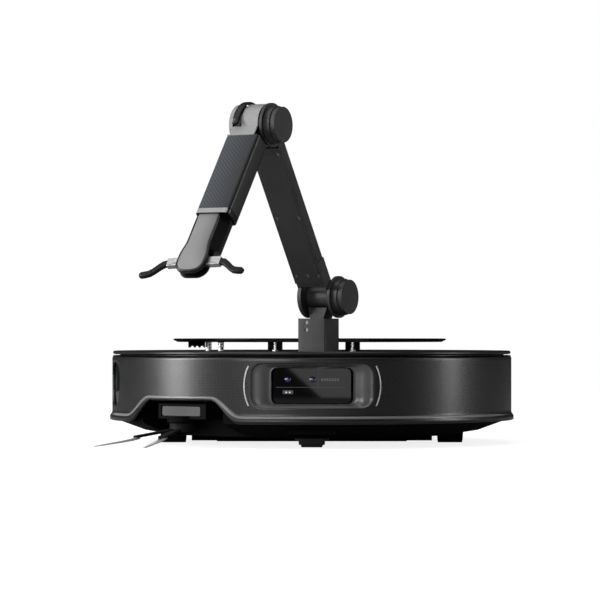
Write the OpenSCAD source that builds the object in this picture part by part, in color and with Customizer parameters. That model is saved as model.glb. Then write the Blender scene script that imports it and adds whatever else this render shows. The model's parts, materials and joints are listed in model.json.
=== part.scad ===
// Round floor-cleaning robot with a folding two-link arm and a two-finger gripper.
// Millimetres, +Z up. The origin is on the floor under the centre of the round body,
// +X is to the right of someone facing the robot, and the robot's front faces -Y.

/* [Body] */
// Radius of the round wall
body_r = 174.6; // [170:0.2:180]
// Height of the deck above the floor
deck_z = 80.4; // [78:0.2:84]
// Thickness of the outer wall
wall = 2.6; // [2:0.1:3]
// Height of the flat underside above the floor
belly_z = 8; // [7:0.5:9]
// Travel of the bumper
bumper_travel = 3; // [2:0.5:3]

/* [Camera window] */
// Width of the recess in the bumper
recess_w = 99.6; // [90:0.2:104]
// Height of the recess in the bumper
recess_h = 36.2; // [30:0.2:40]
// Width of the dark window
window_w = 63.6; // [56:0.2:66]
// Height of the dark window
window_h = 29; // [24:0.2:30]

/* [Running gear] */
// Radius of a drive wheel
wheel_r = 35; // [32:0.5:36]
// Width of a drive wheel
wheel_w = 21; // [18:0.5:22]
// Distance from the middle plane to the middle of a drive wheel
wheel_x = 121; // [119:0.5:122]
// Radius of the front caster wheel
caster_r = 13; // [11:0.5:14]
// Radius of the main brush
roller_r = 18.9; // [17:0.1:19]
// Reach of the side brush
side_brush_reach = 82; // [70:1:84]

/* [Lid] */
// Radius of the raised lid
lid_r = 119.6; // [110:0.2:122]
// Height of the raised lid's top
lid_z = 91; // [90:0.5:94]
// How far the lid can sink
lid_travel = 7; // [5:0.5:7]

/* [Arm] */
// Direction that the arm points in, turned from straight ahead
arm_yaw = 30.8; // [0:0.2:45]
// Distance of the arm's column in front of the body's centre
arm_ahead = 127; // [125:0.5:129]
// Distance of the arm's column to the right of the body's centre
arm_right = 5.6; // [4:0.2:7]
// Height of the shoulder pin
shoulder_z = 125.8; // [122:0.2:128]
// Distance from the shoulder pin to the elbow pin
upper_len = 173.5; // [165:0.5:180]
// Lean of the line between the two pins from upright
upper_lean = 37.8; // [30:0.2:45]
// Lean of the upper arm's flat faces from upright
box_lean = 33.4; // [30:0.2:38]
// Lean of the forearm from straight down
fore_lean = 35.8; // [25:0.2:45]
// Length of the forearm's sleeve, from the elbow pin
sleeve_len = 98.6; // [95:0.2:100]
// Length to the end of the gripper head, from the elbow pin
head_len = 154.4; // [150:0.2:160]

/* [Hidden] */
$fn = 64;

// Small amounts: a cut's overrun and a running clearance
eps = 0.5;
run = 0.05;
big = 500;

// Body
inner_r = body_r - wall;
fan_y = 96;
fan_r = 30.8;
core_r = 168;
core_wall = 2.5;
core_top = deck_z - 4;
shell_top = deck_z - 4.8;
flare_r = body_r + 2;
flare_z = [20.4, 24, 27];
deck_r = body_r - 0.7;
deck_t = 3;
seam_front = -1;
seam_rear = 3;
belly_t = 3;
belly_top = belly_z + belly_t;
screw_xy = [[60, 70], [-60, 70], [60, -60], [-60, -60], [95, 82], [-95, 82]];
floor_screw_r = 3;

// Camera window
window_x = 0.4;
window_z = 52.2;
window_y = -166;
recess_depth_w = 69;
recess_depth_h = 33;
lens_x = [-19.7, 0.7];
lens_z = 57.5;
lens_r = 2.5;

// Running gear
wheel_out = wheel_x + wheel_w / 2;
wheel_in = wheel_x - wheel_w / 2;
hub_r = 28.5;
swing_y = 42;
swing_z = 40;
swing_pin_r = 3;
screw_s = -4.6;
screw_z = [104.6, 98.4];
cover_screws = [[-7.3, 144], [14, 144], [-7.3, 84], [14, 84], [-7.3, 28], [4, 28], [14, 28]];
stub_r = 4;
well_x = [94, 137];
well_y = [-43, 60];
caster_y = -120;
swivel_y = -115;
caster_w = 22;
socket_r = 22.5;
socket_top = 37;
socket_roof = 29.8;
fork_r = 17.3;
fork_z = [6, 14.5, 29.2];
stem_r = 3;
roller_y = -6;
roller_z = 20;
roller_half = 83;
brush_half = 104;
guard_y = [-34, 22];
hood_z = 43;

// Side brush, in a frame turned so that -y points out of the body through the brush
brush_out = 163.6;
brush_turn = -41.8;
pivot_xy = [25, -158];
pocket_x = [-48, 46];
pocket_y = -116;
pocket_roof = 40;
box_x = [-24, 31];
box_y = [-166.8, -140];
box_z = [24, 36.7];
tuft_angles = [-108, -68];
brush_pin_r = 2.6;
brush_pin_top = 25.8;
fin_w = 6.4;
fin_t = 2;

// Lid
lid_t = 3;
lid_x = -1.9;
lid_front = -108.2;
lid_under = lid_z - lid_t;
post_xy = [[-89.5, -30], [-78.8, -30], [-30.9, -105], [34.4, -105]];
post_r = 2.6;
post_foot = 66;
block_x = [-107, -92.6];
block_y = [-34, -26];
block_z = 83.2;
bracket_x = 6.2;
bracket_y = [-3, 5];
bracket_z = 81.4;
button_y = 142;
button_r = 8;

// Arm
column_w = 26.2;
column_d = 24.1;
column_top = 107.9;
column_foot = 53;
turn_r = 21;
turn_foot = 44;
cheek_s = [-10.5, -7];
flange_s = [18.3, 20.6];
cap_s = 30.4;
pin_r = 3;
shoulder_barrel_r = 9.1;
shoulder_r = 17.5;
elbow_r = 17.2;
flange_r = 17.8;
cap_r = 14.4;
box_s = [-10.5, 17.3];
box_n = [1, 11];
pin_lean = upper_lean - box_lean;
elbow_u = upper_len * cos(pin_lean);
elbow_n = upper_len * sin(pin_lean);
elbow_y = -upper_len * sin(upper_lean);
elbow_z = shoulder_z + upper_len * cos(upper_lean);
sleeve_s = [-10, 21];
sleeve_b = [-4.5, 13.4];
sleeve_from = 19.4;
sleeve_t = 1.4;
barrel_t = 0.8;
head_s = 2.2;
head_w = 21.2;
head_wide = 26.4;
carriage_s = [-8.4, 19];
carriage_b = [-2.2, 3];
carriage_a = [62, 130.6];
head_b = [1.4, 9.4];
face_t = 1.6;
finger_s = 10;
finger_a = 141.5;
finger_b = [3, 7.6];
finger_gap = 0.4;
finger_droop = [3.8, -2.2];
finger_pin_r = 1.8;

// Where the side-brush opening lifts the bumper's trim: height along x
hump_x = [-157, -137, -84, -58];
hump_base = 26;
hump_rise = 16;
function ramp(t) = let(c = min(max(t, 0), 1)) c * c * (3 - 2 * c);
function hump(x, inset) =
    ramp((x - hump_x[0] - inset) / (hump_x[1] - hump_x[0])) *
    (1 - ramp((x - hump_x[2] + inset) / (hump_x[3] - hump_x[2])));
function trim_z(x) = hump_base + hump_rise * hump(x, 0);
function slope(x) = (trim_z(x + 0.1) - trim_z(x - 0.1)) / 0.2;
function trim_side(x, d) = let(k = sqrt(1 + slope(x) * slope(x)))
    [x - d * slope(x) / k, trim_z(x) + d / k];

module rod_x(r, x0, x1) { translate([x0, 0, 0]) rotate([0, 90, 0]) cylinder(r = r, h = x1 - x0); }
module rod_y(r, y0, y1) { translate([0, y0, 0]) rotate([-90, 0, 0]) cylinder(r = r, h = y1 - y0); }
module box(x, y, z) { translate([x[0], y[0], z[0]]) cube([x[1] - x[0], y[1] - y[0], z[1] - z[0]]); }
module rounded(w, h, r) {
    square([w - 2 * r, h], center = true);
    square([w, h - 2 * r], center = true);
    for (x = [-1, 1], y = [-1, 1]) translate([x * (w / 2 - r), y * (h / 2 - r)]) circle(r);
}
// A flat outline in the XZ plane, standing up and pushed along Y from y0 to y1
module upright(y0, y1) { translate([0, y1, 0]) rotate([90, 0, 0]) linear_extrude(y1 - y0) children(); }
module front_half(y) { box([-big, big], [-big, y], [-big, big]); }
module rear_half(y) { box([-big, big], [y, big], [-big, big]); }
module ring(r0, r1, z0, z1) {
    rotate_extrude($fn = 180) translate([r0, z0]) square([r1 - r0, z1 - z0]);
}
module mirrored(side) { if (side < 0) mirror([1, 0, 0]) children(); else children(); }

// Frames of the arm: x runs along the joint pins
module at_arm() { translate([arm_right, -arm_ahead, 0]) rotate([0, 0, -arm_yaw]) children(); }
module at_shoulder() { at_arm() translate([0, 0, shoulder_z]) children(); }
// z runs up the upper arm, -y is the normal of its front cover
module along_upper() { at_shoulder() rotate([box_lean, 0, 0]) children(); }
module at_elbow() { at_arm() translate([0, elbow_y, elbow_z]) children(); }
// z runs down the forearm, +y is the normal of its outer face
module along_fore() { at_elbow() rotate([180 - fore_lean, 0, 0]) children(); }

// ---- Body ----

module tray_profile() {
    polygon([[0, belly_z], [128, belly_z], [133, 9.5], [146.5, 11.8], [167, 19.3], [core_r, 20.4],
        [core_r, core_top], [core_r - core_wall, core_top], [core_r - core_wall, 22.6],
        [145.5, 15], [132, 12.6], [127, belly_top], [0, belly_top]]);
}
module tray_openings() {
    for (side = [-1, 1]) mirrored(side) box(well_x, well_y, [0, wheel_r]);
    box([-brush_half - eps, brush_half + eps], guard_y, [0, belly_top + eps]);
    translate([0, swivel_y, 0]) cylinder(r = socket_r - 2, h = socket_roof);
    at_brush() box(pocket_x, [-big, pocket_y], [0, pocket_roof]);
    for (p = screw_xy) translate(p) cylinder(r = floor_screw_r, h = belly_top + 1);
    box([window_x - recess_w / 2 - 5, window_x + recess_w / 2 + 5], [-big, -140], [29, 73.4]);
}
module at_brush() { rotate([0, 0, brush_turn]) children(); }
// Pocket that the side brush's arm swings in
module brush_pocket() {
    intersection() {
        at_brush() difference() {
            box([pocket_x[0] - 2, pocket_x[1] + 2], [-big, pocket_y + 2], [belly_top - 1, pocket_roof + 2]);
            box(pocket_x, [-big, pocket_y], [0, pocket_roof]);
        }
        rotate_extrude($fn = 180) polygon([[0, belly_z], [128, belly_z], [core_r - 1, 22],
            [core_r - 1, 60], [0, 60]]);
    }
    at_brush() translate([pivot_xy[0], pivot_xy[1], 22]) cylinder(r = 3, h = pocket_roof - 21);
}
module swing_bracket() {
    box([80, 90], [swing_y - 9, swing_y + 9], [belly_top - 1, swing_z + 8]);
    translate([0, swing_y, swing_z]) rod_x(swing_pin_r, 88, 108);
}
module chassis_tray() {
    color([0.03, 0.03, 0.035]) {
        difference() {
            rotate_extrude($fn = 180) tray_profile();
            tray_openings();
        }
        difference() {
            box([-88, 88], guard_y, [belly_top - 1, hood_z]);
            box([-86, 86], [guard_y[0] + 2, guard_y[1] - 2], [0, hood_z - 2]);
            box([-50, 50], [guard_y[1] - 3, guard_y[1] + 1], [24, 36]);
            translate([0, roller_y, roller_z]) rod_x(6, -90, 90);
        }
        translate([0, swivel_y, 0]) difference() {
            translate([0, 0, belly_z]) cylinder(r = socket_r, h = socket_top - belly_z);
            cylinder(r = socket_r - 2, h = socket_roof);
            cylinder(r = stem_r + run, h = big);
        }
        for (side = [-1, 1]) mirrored(side) swing_bracket();
        brush_pocket();
        box([-20, 20], [-158, -150], [12, window_z - window_h / 2]);
    }
}
module wall_profile(r_in, top) {
    polygon([[r_in, top], [body_r, top], [body_r, flare_z[2]], [flare_r, flare_z[1]],
        [flare_r, flare_z[0]], [body_r - 0.6, flare_z[0]], [r_in, flare_z[1] - 1]]);
}
module rear_shell() {
    color([0.04, 0.04, 0.045]) {
        difference() {
            rotate_extrude(angle = 180, $fn = 180) wall_profile(inner_r, core_top);
            front_half(seam_rear);
            box([-30, 30], [core_r, big], [30, 46]);
        }
        intersection() {
            ring(core_r, inner_r + eps, 24, 26);
            rear_half(seam_rear);
        }
    }
}
module bay_hole() { box([-14, 46], [-96, 72], [0, deck_z + 1]); }
module top_deck() {
    color([0.05, 0.05, 0.055]) difference() {
        union() {
            rotate_extrude($fn = 180) polygon([[0, deck_z - deck_t], [deck_r - 1, deck_z - deck_t],
                [deck_r, deck_z - deck_t + 0.8], [deck_r, deck_z - 0.9], [deck_r - 1, deck_z], [0, deck_z]]);
            ring(core_r - core_wall, core_r - 0.2, core_top, deck_z - deck_t + eps);
        }
        bay_hole();
        translate([arm_right, -arm_ahead, 0]) cylinder(r = turn_r + 0.4, h = big);
        for (p = post_xy) translate(p) cylinder(r = post_r + 0.3, h = big);
        box([block_x[0] - eps, block_x[1] + eps], [block_y[0] - eps, block_y[1] + eps], [0, big]);
        for (i = [2, 3]) translate(post_xy[i]) box([-bracket_x - eps, bracket_x + eps],
            [bracket_y[0] - eps, bracket_y[1] + eps], [0, big]);
        translate([0, button_y, 0]) cylinder(r = button_r + 0.3, h = big);
    }
}
module arm_bay_tray() {
    color([0.02, 0.02, 0.022]) difference() {
        box([-14, 46], [-96, 72], [46, deck_z - deck_t]);
        box([-12.4, 44.4], [-94.4, 70.4], [47.6, big]);
    }
}
module window_plate(w, h, r, y0, y1) {
    upright(y0, y1) translate([window_x, window_z]) rounded(w, h, r);
}
module camera_housing() {
    color([0.02, 0.02, 0.02]) difference() {
        window_plate(window_w, window_h, 4, window_y + 1.8, -150);
        window_plate(window_w - 4, window_h - 4, 3, window_y - 1, -152);
        box([-20, 34], [-153, -149], [40, 50]);
    }
}
module camera_glass() {
    color([0.02, 0.02, 0.03]) difference() {
        window_plate(window_w, window_h, 4, window_y, window_y + 1.8);
        for (x = lens_x) translate([x, 0, lens_z]) rod_y(lens_r + run, window_y - 1, window_y + 3);
    }
}
module camera_lenses() {
    color([0.05, 0.06, 0.25]) for (x = lens_x) translate([x, 0, lens_z]) {
        rod_y(lens_r, window_y - 0.2, window_y + 6);
        rod_y(lens_r + 2, window_y + 5, window_y + 14);
    }
}
module lamp_bar() {
    color([0.9, 0.9, 0.9]) {
        box([-23.7, -15.3], [window_y + 3, window_y + 5], [45.4, 49]);
        for (x = [-21.4, -18.4]) translate([x, 0, 47]) rod_y(0.8, window_y + 1.8, window_y + 4);
        box([-24, -15], [window_y + 5, window_y + 14], [44.5, 50]);
    }
}
module battery_pack() {
    color([0.1, 0.25, 0.45]) for (side = [-1, 1]) mirrored(side) box([24, 74], [-82, -37], [belly_top, 46]);
}
module main_board() {
    color([0.05, 0.3, 0.12]) {
        box([-76, -20], [34, 86], [50, 51.6]);
        for (x = [-70, -54, -38]) box([x, x + 12], [40, 54], [51.6, 54]);
        for (x = [-72, -42]) translate([x, x < -50 ? 66 : 42, belly_top]) cylinder(r = 3, h = 51 - belly_top);
    }
}
module fan_housing() {
    color([0.15, 0.15, 0.16]) difference() {
        union() {
            translate([0, fan_y, belly_top]) cylinder(r = fan_r, h = 33);
            box([-14, 14], [guard_y[1], fan_y - 20], [22, 40]);
        }
        translate([0, fan_y, belly_top + 2]) cylinder(r = fan_r - 2, h = 29);
        translate([0, fan_y, belly_top + 20]) cylinder(r = 12, h = 20);
        box([-12, 12], [0, fan_y - 16], [24, 36]);
    }
}
module fan_impeller() {
    color([0.7, 0.7, 0.72]) translate([0, fan_y, belly_top + 4]) {
        cylinder(r = fan_r - 6, h = 2);
        cylinder(r = 7, h = 22);
        for (i = [0:8]) rotate([0, 0, i * 40]) translate([5, -0.8, 0]) cube([fan_r - 12, 1.6, 16]);
    }
}
module dust_bin() {
    color([0.12, 0.12, 0.14]) {
        difference() {
            box([38, 92], [76, 108], [14.6, 66]);
            box([40, 90], [78, 106], [16.6, 64]);
            box([36, 60], [84, 100], [20, 34]);
        }
        box([40, 70], [80, 96], [belly_top, 14.6]);
    }
}
module charge_contacts() {
    color([0.8, 0.75, 0.6]) difference() {
        for (x = [-20, 20]) box([x - 7, x + 7], [core_r - 10, 172.6], [33, 43]);
        cylinder(r = core_r, h = 90, $fn = 180);
    }
}
module brush_guard() {
    color([0.03, 0.03, 0.03]) {
        difference() {
            box([-brush_half, brush_half], guard_y, [2.8, belly_top - 1]);
            box([-85, 85], [guard_y[0] + 4, guard_y[1] - 4], [0, belly_top + 1]);
        }
        for (side = [-1, 1]) mirrored(side) difference() {
            box([88.2, 97], [guard_y[0] + 6, guard_y[1] - 8], [belly_top - 2, 34]);
            translate([0, roller_y, roller_z]) rod_x(4 + run, 80, 94);
        }
    }
}
module brush_motor() {
    color([0.6, 0.6, 0.62]) {
        translate([-62, -10, hood_z + 13]) rod_x(12, -22, 22);
        box([-84, -40], [-20, 0], [hood_z, hood_z + 6]);
    }
}
module arm_bearing() {
    color([0.5, 0.5, 0.52]) translate([arm_right, -arm_ahead, 0]) difference() {
        translate([0, 0, socket_top]) cylinder(r = turn_r + 2.6, h = 70 - socket_top);
        cylinder(r = turn_r + run, h = big);
        front_half(-22.5);
    }
}
module chassis_screws() {
    color([0.55, 0.55, 0.57]) for (p = screw_xy) translate([p[0], p[1], belly_z - 0.6])
        cylinder(r = floor_screw_r, h = belly_t);
}

// ---- Bumper ----

module side_brush_cutout() {
    upright(-big, -40) polygon(concat([[hump_x[3] - 3, 0], [hump_x[0] + 3, 0]],
        [for (i = [0:40]) let(x = hump_x[0] + 3 + (hump_x[3] - hump_x[0] - 6) * i / 40)
            [x, 18 + (hump_base + hump_rise - 19.6) * hump(x, 3)]]));
}
module bumper_wall() {
    intersection() {
        rotate_extrude($fn = 180) wall_profile(inner_r, shell_top);
        front_half(seam_front);
    }
}
module bumper_shell() {
    color([0.06, 0.06, 0.065]) {
        difference() {
            bumper_wall();
            side_brush_cutout();
            window_plate(recess_w, recess_h, 9, -big, -150);
            sensor_oval(wall + 1, 46, 38, 13);
        }
        recess_frame();
    }
}
// Funnel that leads from the recess's rim in to the window
module recess_frame() {
    difference() {
        intersection() {
            window_plate(recess_w + 3, recess_h + 3, 10, -173.4, -162.6);
            ring(0, inner_r + eps, 0, 90);
        }
        window_plate(recess_w, recess_h, 9, -big, window_y + 1);
        window_plate(recess_depth_w, recess_depth_h - 1.6, 5, -big, -150);
    }
}
// A rounded plate bent round the left wall, for the wall sensor
module sensor_oval(depth, w, h, r) {
    intersection() {
        ring(body_r - depth, body_r + 5, 0, 90);
        rotate([0, 0, -78.4]) translate([0, 0, 52.4]) upright(-big, -100) rounded(w, h, r);
    }
}
module bumper_trim() {
    color([0.6, 0.6, 0.62]) intersection() {
        upright(-big, -20) polygon(concat(
            [for (i = [0:90]) trim_side(-174 + 344 * i / 90, 1.3)],
            [for (i = [90:-1:0]) trim_side(-174 + 344 * i / 90, -1.3)]));
        rotate_extrude($fn = 180) polygon([[body_r, 60], [body_r, flare_z[2]], [flare_r, flare_z[1]],
            [flare_r, 22], [flare_r + 0.6, 22], [flare_r + 0.6, flare_z[1]], [body_r + 0.6, flare_z[2]],
            [body_r + 0.6, 60]]);
        bumper_reach();
    }
}
module bumper_reach() { difference() { front_half(-28); sensor_oval(wall + 3, 47, 39, 13); } }
module light_arcs() {
    color([0.85, 0.85, 0.85]) intersection() {
        ring(body_r, body_r + 0.4, 0, 90);
        upright(-big, -150) for (side = [-1, 1]) translate([window_x + side * 0.6, window_z]) mirrored(side)
            intersection() {
                translate([17, 0]) difference() { circle(39.2); circle(38.1); }
                translate([40, -16.5]) square([30, 33]);
            }
    }
}
module wall_sensor_window() {
    color([0.01, 0.01, 0.012]) intersection() {
        sensor_oval(wall + 1, 49, 41, 14);
        ring(0, inner_r, 0, 90);
    }
}

// ---- Deck button ----

module power_button() {
    color([0.3, 0.3, 0.32]) translate([0, button_y, deck_z - deck_t]) {
        translate([0, 0, -1.2]) cylinder(r = button_r, h = deck_t + 1.8);
        translate([0, 0, -2.6]) cylinder(r = button_r + 1.5, h = 1.4);
    }
}

// ---- Running gear ----

module wheel_arm() {
    color([0.08, 0.08, 0.09]) difference() {
        union() {
            translate([0, swing_y, swing_z]) rod_x(9, 92, 108.6);
            translate([0, 0, wheel_r]) rod_x(13, 98, 108.6);
            translate([0, 0, wheel_r]) rotate([atan2(swing_z - wheel_r, swing_y), 0, 0])
                box([98, 108.6], [0, 42.3], [-9, 9]);
        }
        translate([0, swing_y, swing_z]) rod_x(swing_pin_r + run, 90, 110);
        translate([0, 0, wheel_r]) rod_x(stub_r + run, 96, 110);
    }
}
module wheel_hub() {
    color([0.3, 0.3, 0.31]) translate([0, 0, wheel_r]) {
        rod_x(stub_r, 100, wheel_in + 1);
        difference() {
            rod_x(hub_r, wheel_in, wheel_out - 1.5);
            rod_x(hub_r - 4, wheel_out - 5, wheel_out);
            for (i = [0:5]) rotate([i * 60, 0, 0]) translate([0, 17, 0]) rod_x(5, wheel_out - 8, wheel_out);
        }
        rod_x(8, wheel_out - 6, wheel_out - 1);
    }
}
module wheel_tyre() {
    color([0.02, 0.02, 0.02]) translate([0, 0, wheel_r]) difference() {
        rod_x(wheel_r, wheel_in, wheel_out);
        rod_x(hub_r, wheel_in - 1, wheel_out + 1);
        for (i = [0:35]) rotate([i * 10, 0, 0]) box([wheel_in + 3, wheel_out - 3],
            [-0.9, 0.9], [wheel_r - 2.2, wheel_r + 2]);
    }
}
module caster_fork() {
    color([0.1, 0.1, 0.105]) translate([0, swivel_y, 0]) {
        difference() {
            union() {
                translate([0, 0, fork_z[1]]) cylinder(r = fork_r, h = fork_z[2] - fork_z[1]);
                translate([0, 0, fork_z[0]])
                    cylinder(r1 = fork_r - 3.3, r2 = fork_r, h = fork_z[1] - fork_z[0]);
            }
            box([-caster_w / 2 - 0.6, caster_w / 2 + 0.6], [-40, 9.6], [-1, 2 * caster_r + 0.8]);
            translate([0, caster_y - swivel_y, caster_r]) rod_x(2 + run, -40, 40);
        }
        translate([0, 0, fork_z[2] - 1]) cylinder(r = stem_r, h = socket_top - fork_z[2] + 0.6);
    }
}
module caster_wheel() {
    color([0.05, 0.05, 0.05]) translate([0, caster_y, caster_r]) difference() {
        union() {
            rod_x(caster_r, -caster_w / 2 + 2, caster_w / 2 - 2);
            rod_x(caster_r - 2, -caster_w / 2, caster_w / 2);
        }
        rod_x(2 + 2 * run, -20, 20);
    }
}
module caster_axle() {
    color([0.7, 0.7, 0.72]) translate([0, caster_y, caster_r]) rod_x(2, -14, 14);
}
module side_brush_arm() {
    color([0.04, 0.04, 0.045]) at_brush() difference() {
        union() {
            box(box_x, box_y, box_z);
            translate([0, -brush_out, box_z[0] - 3]) cylinder(r = 12, h = 5);
        }
        translate([pivot_xy[0], pivot_xy[1], 0]) cylinder(r = 3 + run, h = 60);
        translate([0, -brush_out, 0]) cylinder(r = brush_pin_r + run, h = brush_pin_top + 0.3);
        box([box_x[0] + 3.4, box_x[1] - 6], [box_y[0] - 1, box_y[0] + 1.2], [box_z[0] + 2.2, box_z[1] - 2]);
    }
}
module side_brush_panel() {
    color([0.2, 0.2, 0.21]) at_brush()
        translate([(box_x[0] + box_x[1] - 2.6) / 2, 0, (box_z[0] + box_z[1]) / 2 + 0.1])
            upright(box_y[0] + 0.3, box_y[0] + 1.2) rounded(44, 7.9, 2);
}
module side_brush_hub() {
    color([0.05, 0.05, 0.05]) at_brush() translate([0, -brush_out, 0]) {
        translate([0, 0, 14]) cylinder(r = brush_pin_r, h = brush_pin_top - 14);
        translate([0, 0, 13]) cylinder(r = 10, h = 7.2);
        for (t = tuft_angles) rotate([0, 0, t]) translate([7, 0, 15]) rotate([0, 8.5, 0])
            translate([0, -fin_w / 2, -fin_t / 2]) cube([37, fin_w, fin_t]);
    }
}
module side_brush_bristles() {
    color([0.85, 0.85, 0.86]) at_brush() translate([0, -brush_out, 0])
        for (t = tuft_angles) rotate([0, 0, t]) translate([0, 1.8, 0]) rotate([90, 0, 0])
            linear_extrude(3.6) polygon([[43.4, 6.8], [47, 5.8], [side_brush_reach, 1.8],
                [side_brush_reach, 3.4], [47.2, 7.4], [43.8, 8]]);
}
module roller_core() {
    color([0.2, 0.2, 0.22]) translate([0, roller_y, roller_z]) {
        rod_x(12, -roller_half, roller_half);
        rod_x(4, -93, 93);
    }
}
module roller_fins() {
    color([0.12, 0.13, 0.16]) translate([0, roller_y, roller_z]) difference() {
        for (i = [0:5]) rotate([i * 60, 0, 0]) box([-roller_half, roller_half], [-1.2, 1.2], [10, roller_r]);
        rod_x(12, -roller_half - 1, roller_half + 1);
    }
}

// ---- Lid ----

module lid_plate() {
    color([0.02, 0.02, 0.022]) difference() {
        translate([lid_x, 0, 0]) rotate_extrude($fn = 180) polygon([[0, lid_under], [lid_r - 4, lid_under],
            [lid_r, lid_z - 1.2], [lid_r - 0.8, lid_z], [0, lid_z]]);
        front_half(lid_front);
    }
}
module lid_posts() {
    color([0.75, 0.75, 0.77]) for (p = post_xy) translate([p[0], p[1], post_foot])
        cylinder(r = post_r, h = lid_under - post_foot);
}
module lid_brackets() {
    color([0.03, 0.03, 0.03]) {
        difference() {
            box(block_x, block_y, [block_z, lid_under]);
            for (i = [0:2]) translate([block_x[0] + 3.4 + i * 4.2, 0, block_z]) rod_y(1.4, -40, -20);
        }
        for (i = [2, 3]) translate([post_xy[i][0], post_xy[i][1], 0]) difference() {
            box([-bracket_x, bracket_x], bracket_y, [bracket_z, lid_under]);
            cylinder(r = post_r, h = big);
            box([-post_r - 0.1, post_r + 0.1], [-4, 0], [0, big]);
        }
    }
}

// ---- Arm ----

module turntable() {
    color([0.06, 0.06, 0.065]) at_arm() difference() {
        translate([0, 0, turn_foot]) cylinder(r = turn_r, h = deck_z - turn_foot);
        box([-column_w / 2 - run, column_w / 2 + run], [-column_d / 2 - run, column_d / 2 + run], [0, big]);
    }
}
module column() {
    color([0.1, 0.1, 0.105]) at_arm() difference() {
        union() {
            difference() {
                translate([0, 0, column_foot]) linear_extrude(column_top - column_foot)
                    rounded(column_w, column_d, 1.2);
                for (z = screw_z) translate([screw_s, 0, z]) rod_y(1.7, -column_d, -column_d / 2 + 1.2);
            }
            translate([0, 7, column_top - 1]) rotate([90, 0, 0]) linear_extrude(14)
                polygon([[-4, 0], [8.5, 0], [12, 10], [-6, 10]]);
            translate([0, 0, shoulder_z]) rod_x(shoulder_barrel_r, -6.6, 16.6);
        }
        translate([0, 0, shoulder_z]) rod_x(pin_r + run, -20, 30);
    }
}
module column_screws() {
    color([0.3, 0.3, 0.3]) at_arm() for (z = screw_z)
        translate([screw_s, 0, z]) rod_y(1.7, -column_d / 2 + 0.5, -column_d / 2 + 1.2);
}
module upper_arm_frame() {
    color([0.08, 0.08, 0.085]) {
        along_upper() difference() {
            union() {
                box(box_s, [-box_n[1] + 1.6, -box_n[0]], [8, 155]);
                rod_x(shoulder_r, cheek_s[0], cheek_s[1]);
                rod_x(shoulder_r - 2, 17.2, flange_s[0]);
                translate([0, -elbow_n, elbow_u]) rod_x(elbow_r, cheek_s[0], cheek_s[1]);
                translate([0, -elbow_n, elbow_u]) rod_x(elbow_r - 2, 17.2, flange_s[0]);
                for (s = [[box_s[0], cheek_s[1]], [17.2, flange_s[0]]])
                    box(s, [-box_n[1], -box_n[0]], [150, elbow_u]);
                box([17.2, flange_s[0]], [-box_n[1], -box_n[0]], [0, 40]);
                rod_x(pin_r, cheek_s[0], flange_s[0]);
                translate([0, -elbow_n, elbow_u]) rod_x(pin_r, cheek_s[0], flange_s[0]);
            }
            difference() {
                rod_x(19, cheek_s[1], 17.2);
                rod_x(pin_r, -20, 30);
            }
            translate([0, -elbow_n, elbow_u]) difference() {
                rod_x(17.8, cheek_s[1], 17.2);
                rod_x(pin_r, -20, 30);
            }
        }
    }
}
module upper_arm_cover() {
    color([0.12, 0.12, 0.125]) along_upper() difference() {
        box(box_s, [-box_n[1], -box_n[1] + 1.6], [20, 150]);
        for (p = cover_screws) translate([p[0], 0, p[1]]) rod_y(1.5, -20, 0);
    }
}
module upper_arm_screws() {
    color([0.45, 0.45, 0.46]) along_upper() for (p = cover_screws)
        translate([p[0], 0, p[1]]) rod_y(1.5, -box_n[1] + 0.4, -box_n[1] + 1.6);
}
// Stepped motor cap outside a joint
module joint_cap(r) {
    rod_x(r, flange_s[0], flange_s[1]);
    rod_x(cap_r + 0.8, flange_s[1], 26);
    rod_x(cap_r, 26, cap_s);
}
module shoulder_cap() { color([0.09, 0.09, 0.095]) at_shoulder() joint_cap(shoulder_r); }
module elbow_cap() { color([0.09, 0.09, 0.095]) at_elbow() joint_cap(flange_r); }

module sleeve_outline(inset) {
    w = sleeve_s[1] - sleeve_s[0] - 2 * inset;
    h = sleeve_b[1] - sleeve_b[0] - 2 * inset;
    translate([(sleeve_s[0] + sleeve_s[1]) / 2, (sleeve_b[0] + sleeve_b[1]) / 2]) rounded(w, h, 3.4 - inset);
}
module forearm_sleeve() {
    color([0.05, 0.05, 0.055]) along_fore() {
        difference() {
            translate([0, 0, sleeve_from]) linear_extrude(sleeve_len - sleeve_from) sleeve_outline(0.6);
            translate([0, 0, sleeve_from + 5]) linear_extrude(sleeve_len) sleeve_outline(sleeve_t);
        }
        difference() {
            union() {
                rod_x(elbow_r - barrel_t, 1.2, 16.6);
                rod_x(12.5, -6.6, 1.3);
                box([-6.6, 16.6], [sleeve_b[0] + 0.6, sleeve_b[1] - 1], [0, sleeve_from + 1]);
            }
            box([-20, 30], [sleeve_b[1] - 1, 40], [2, 40]);
            rod_x(pin_r + run, -20, 30);
        }
    }
}
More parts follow.
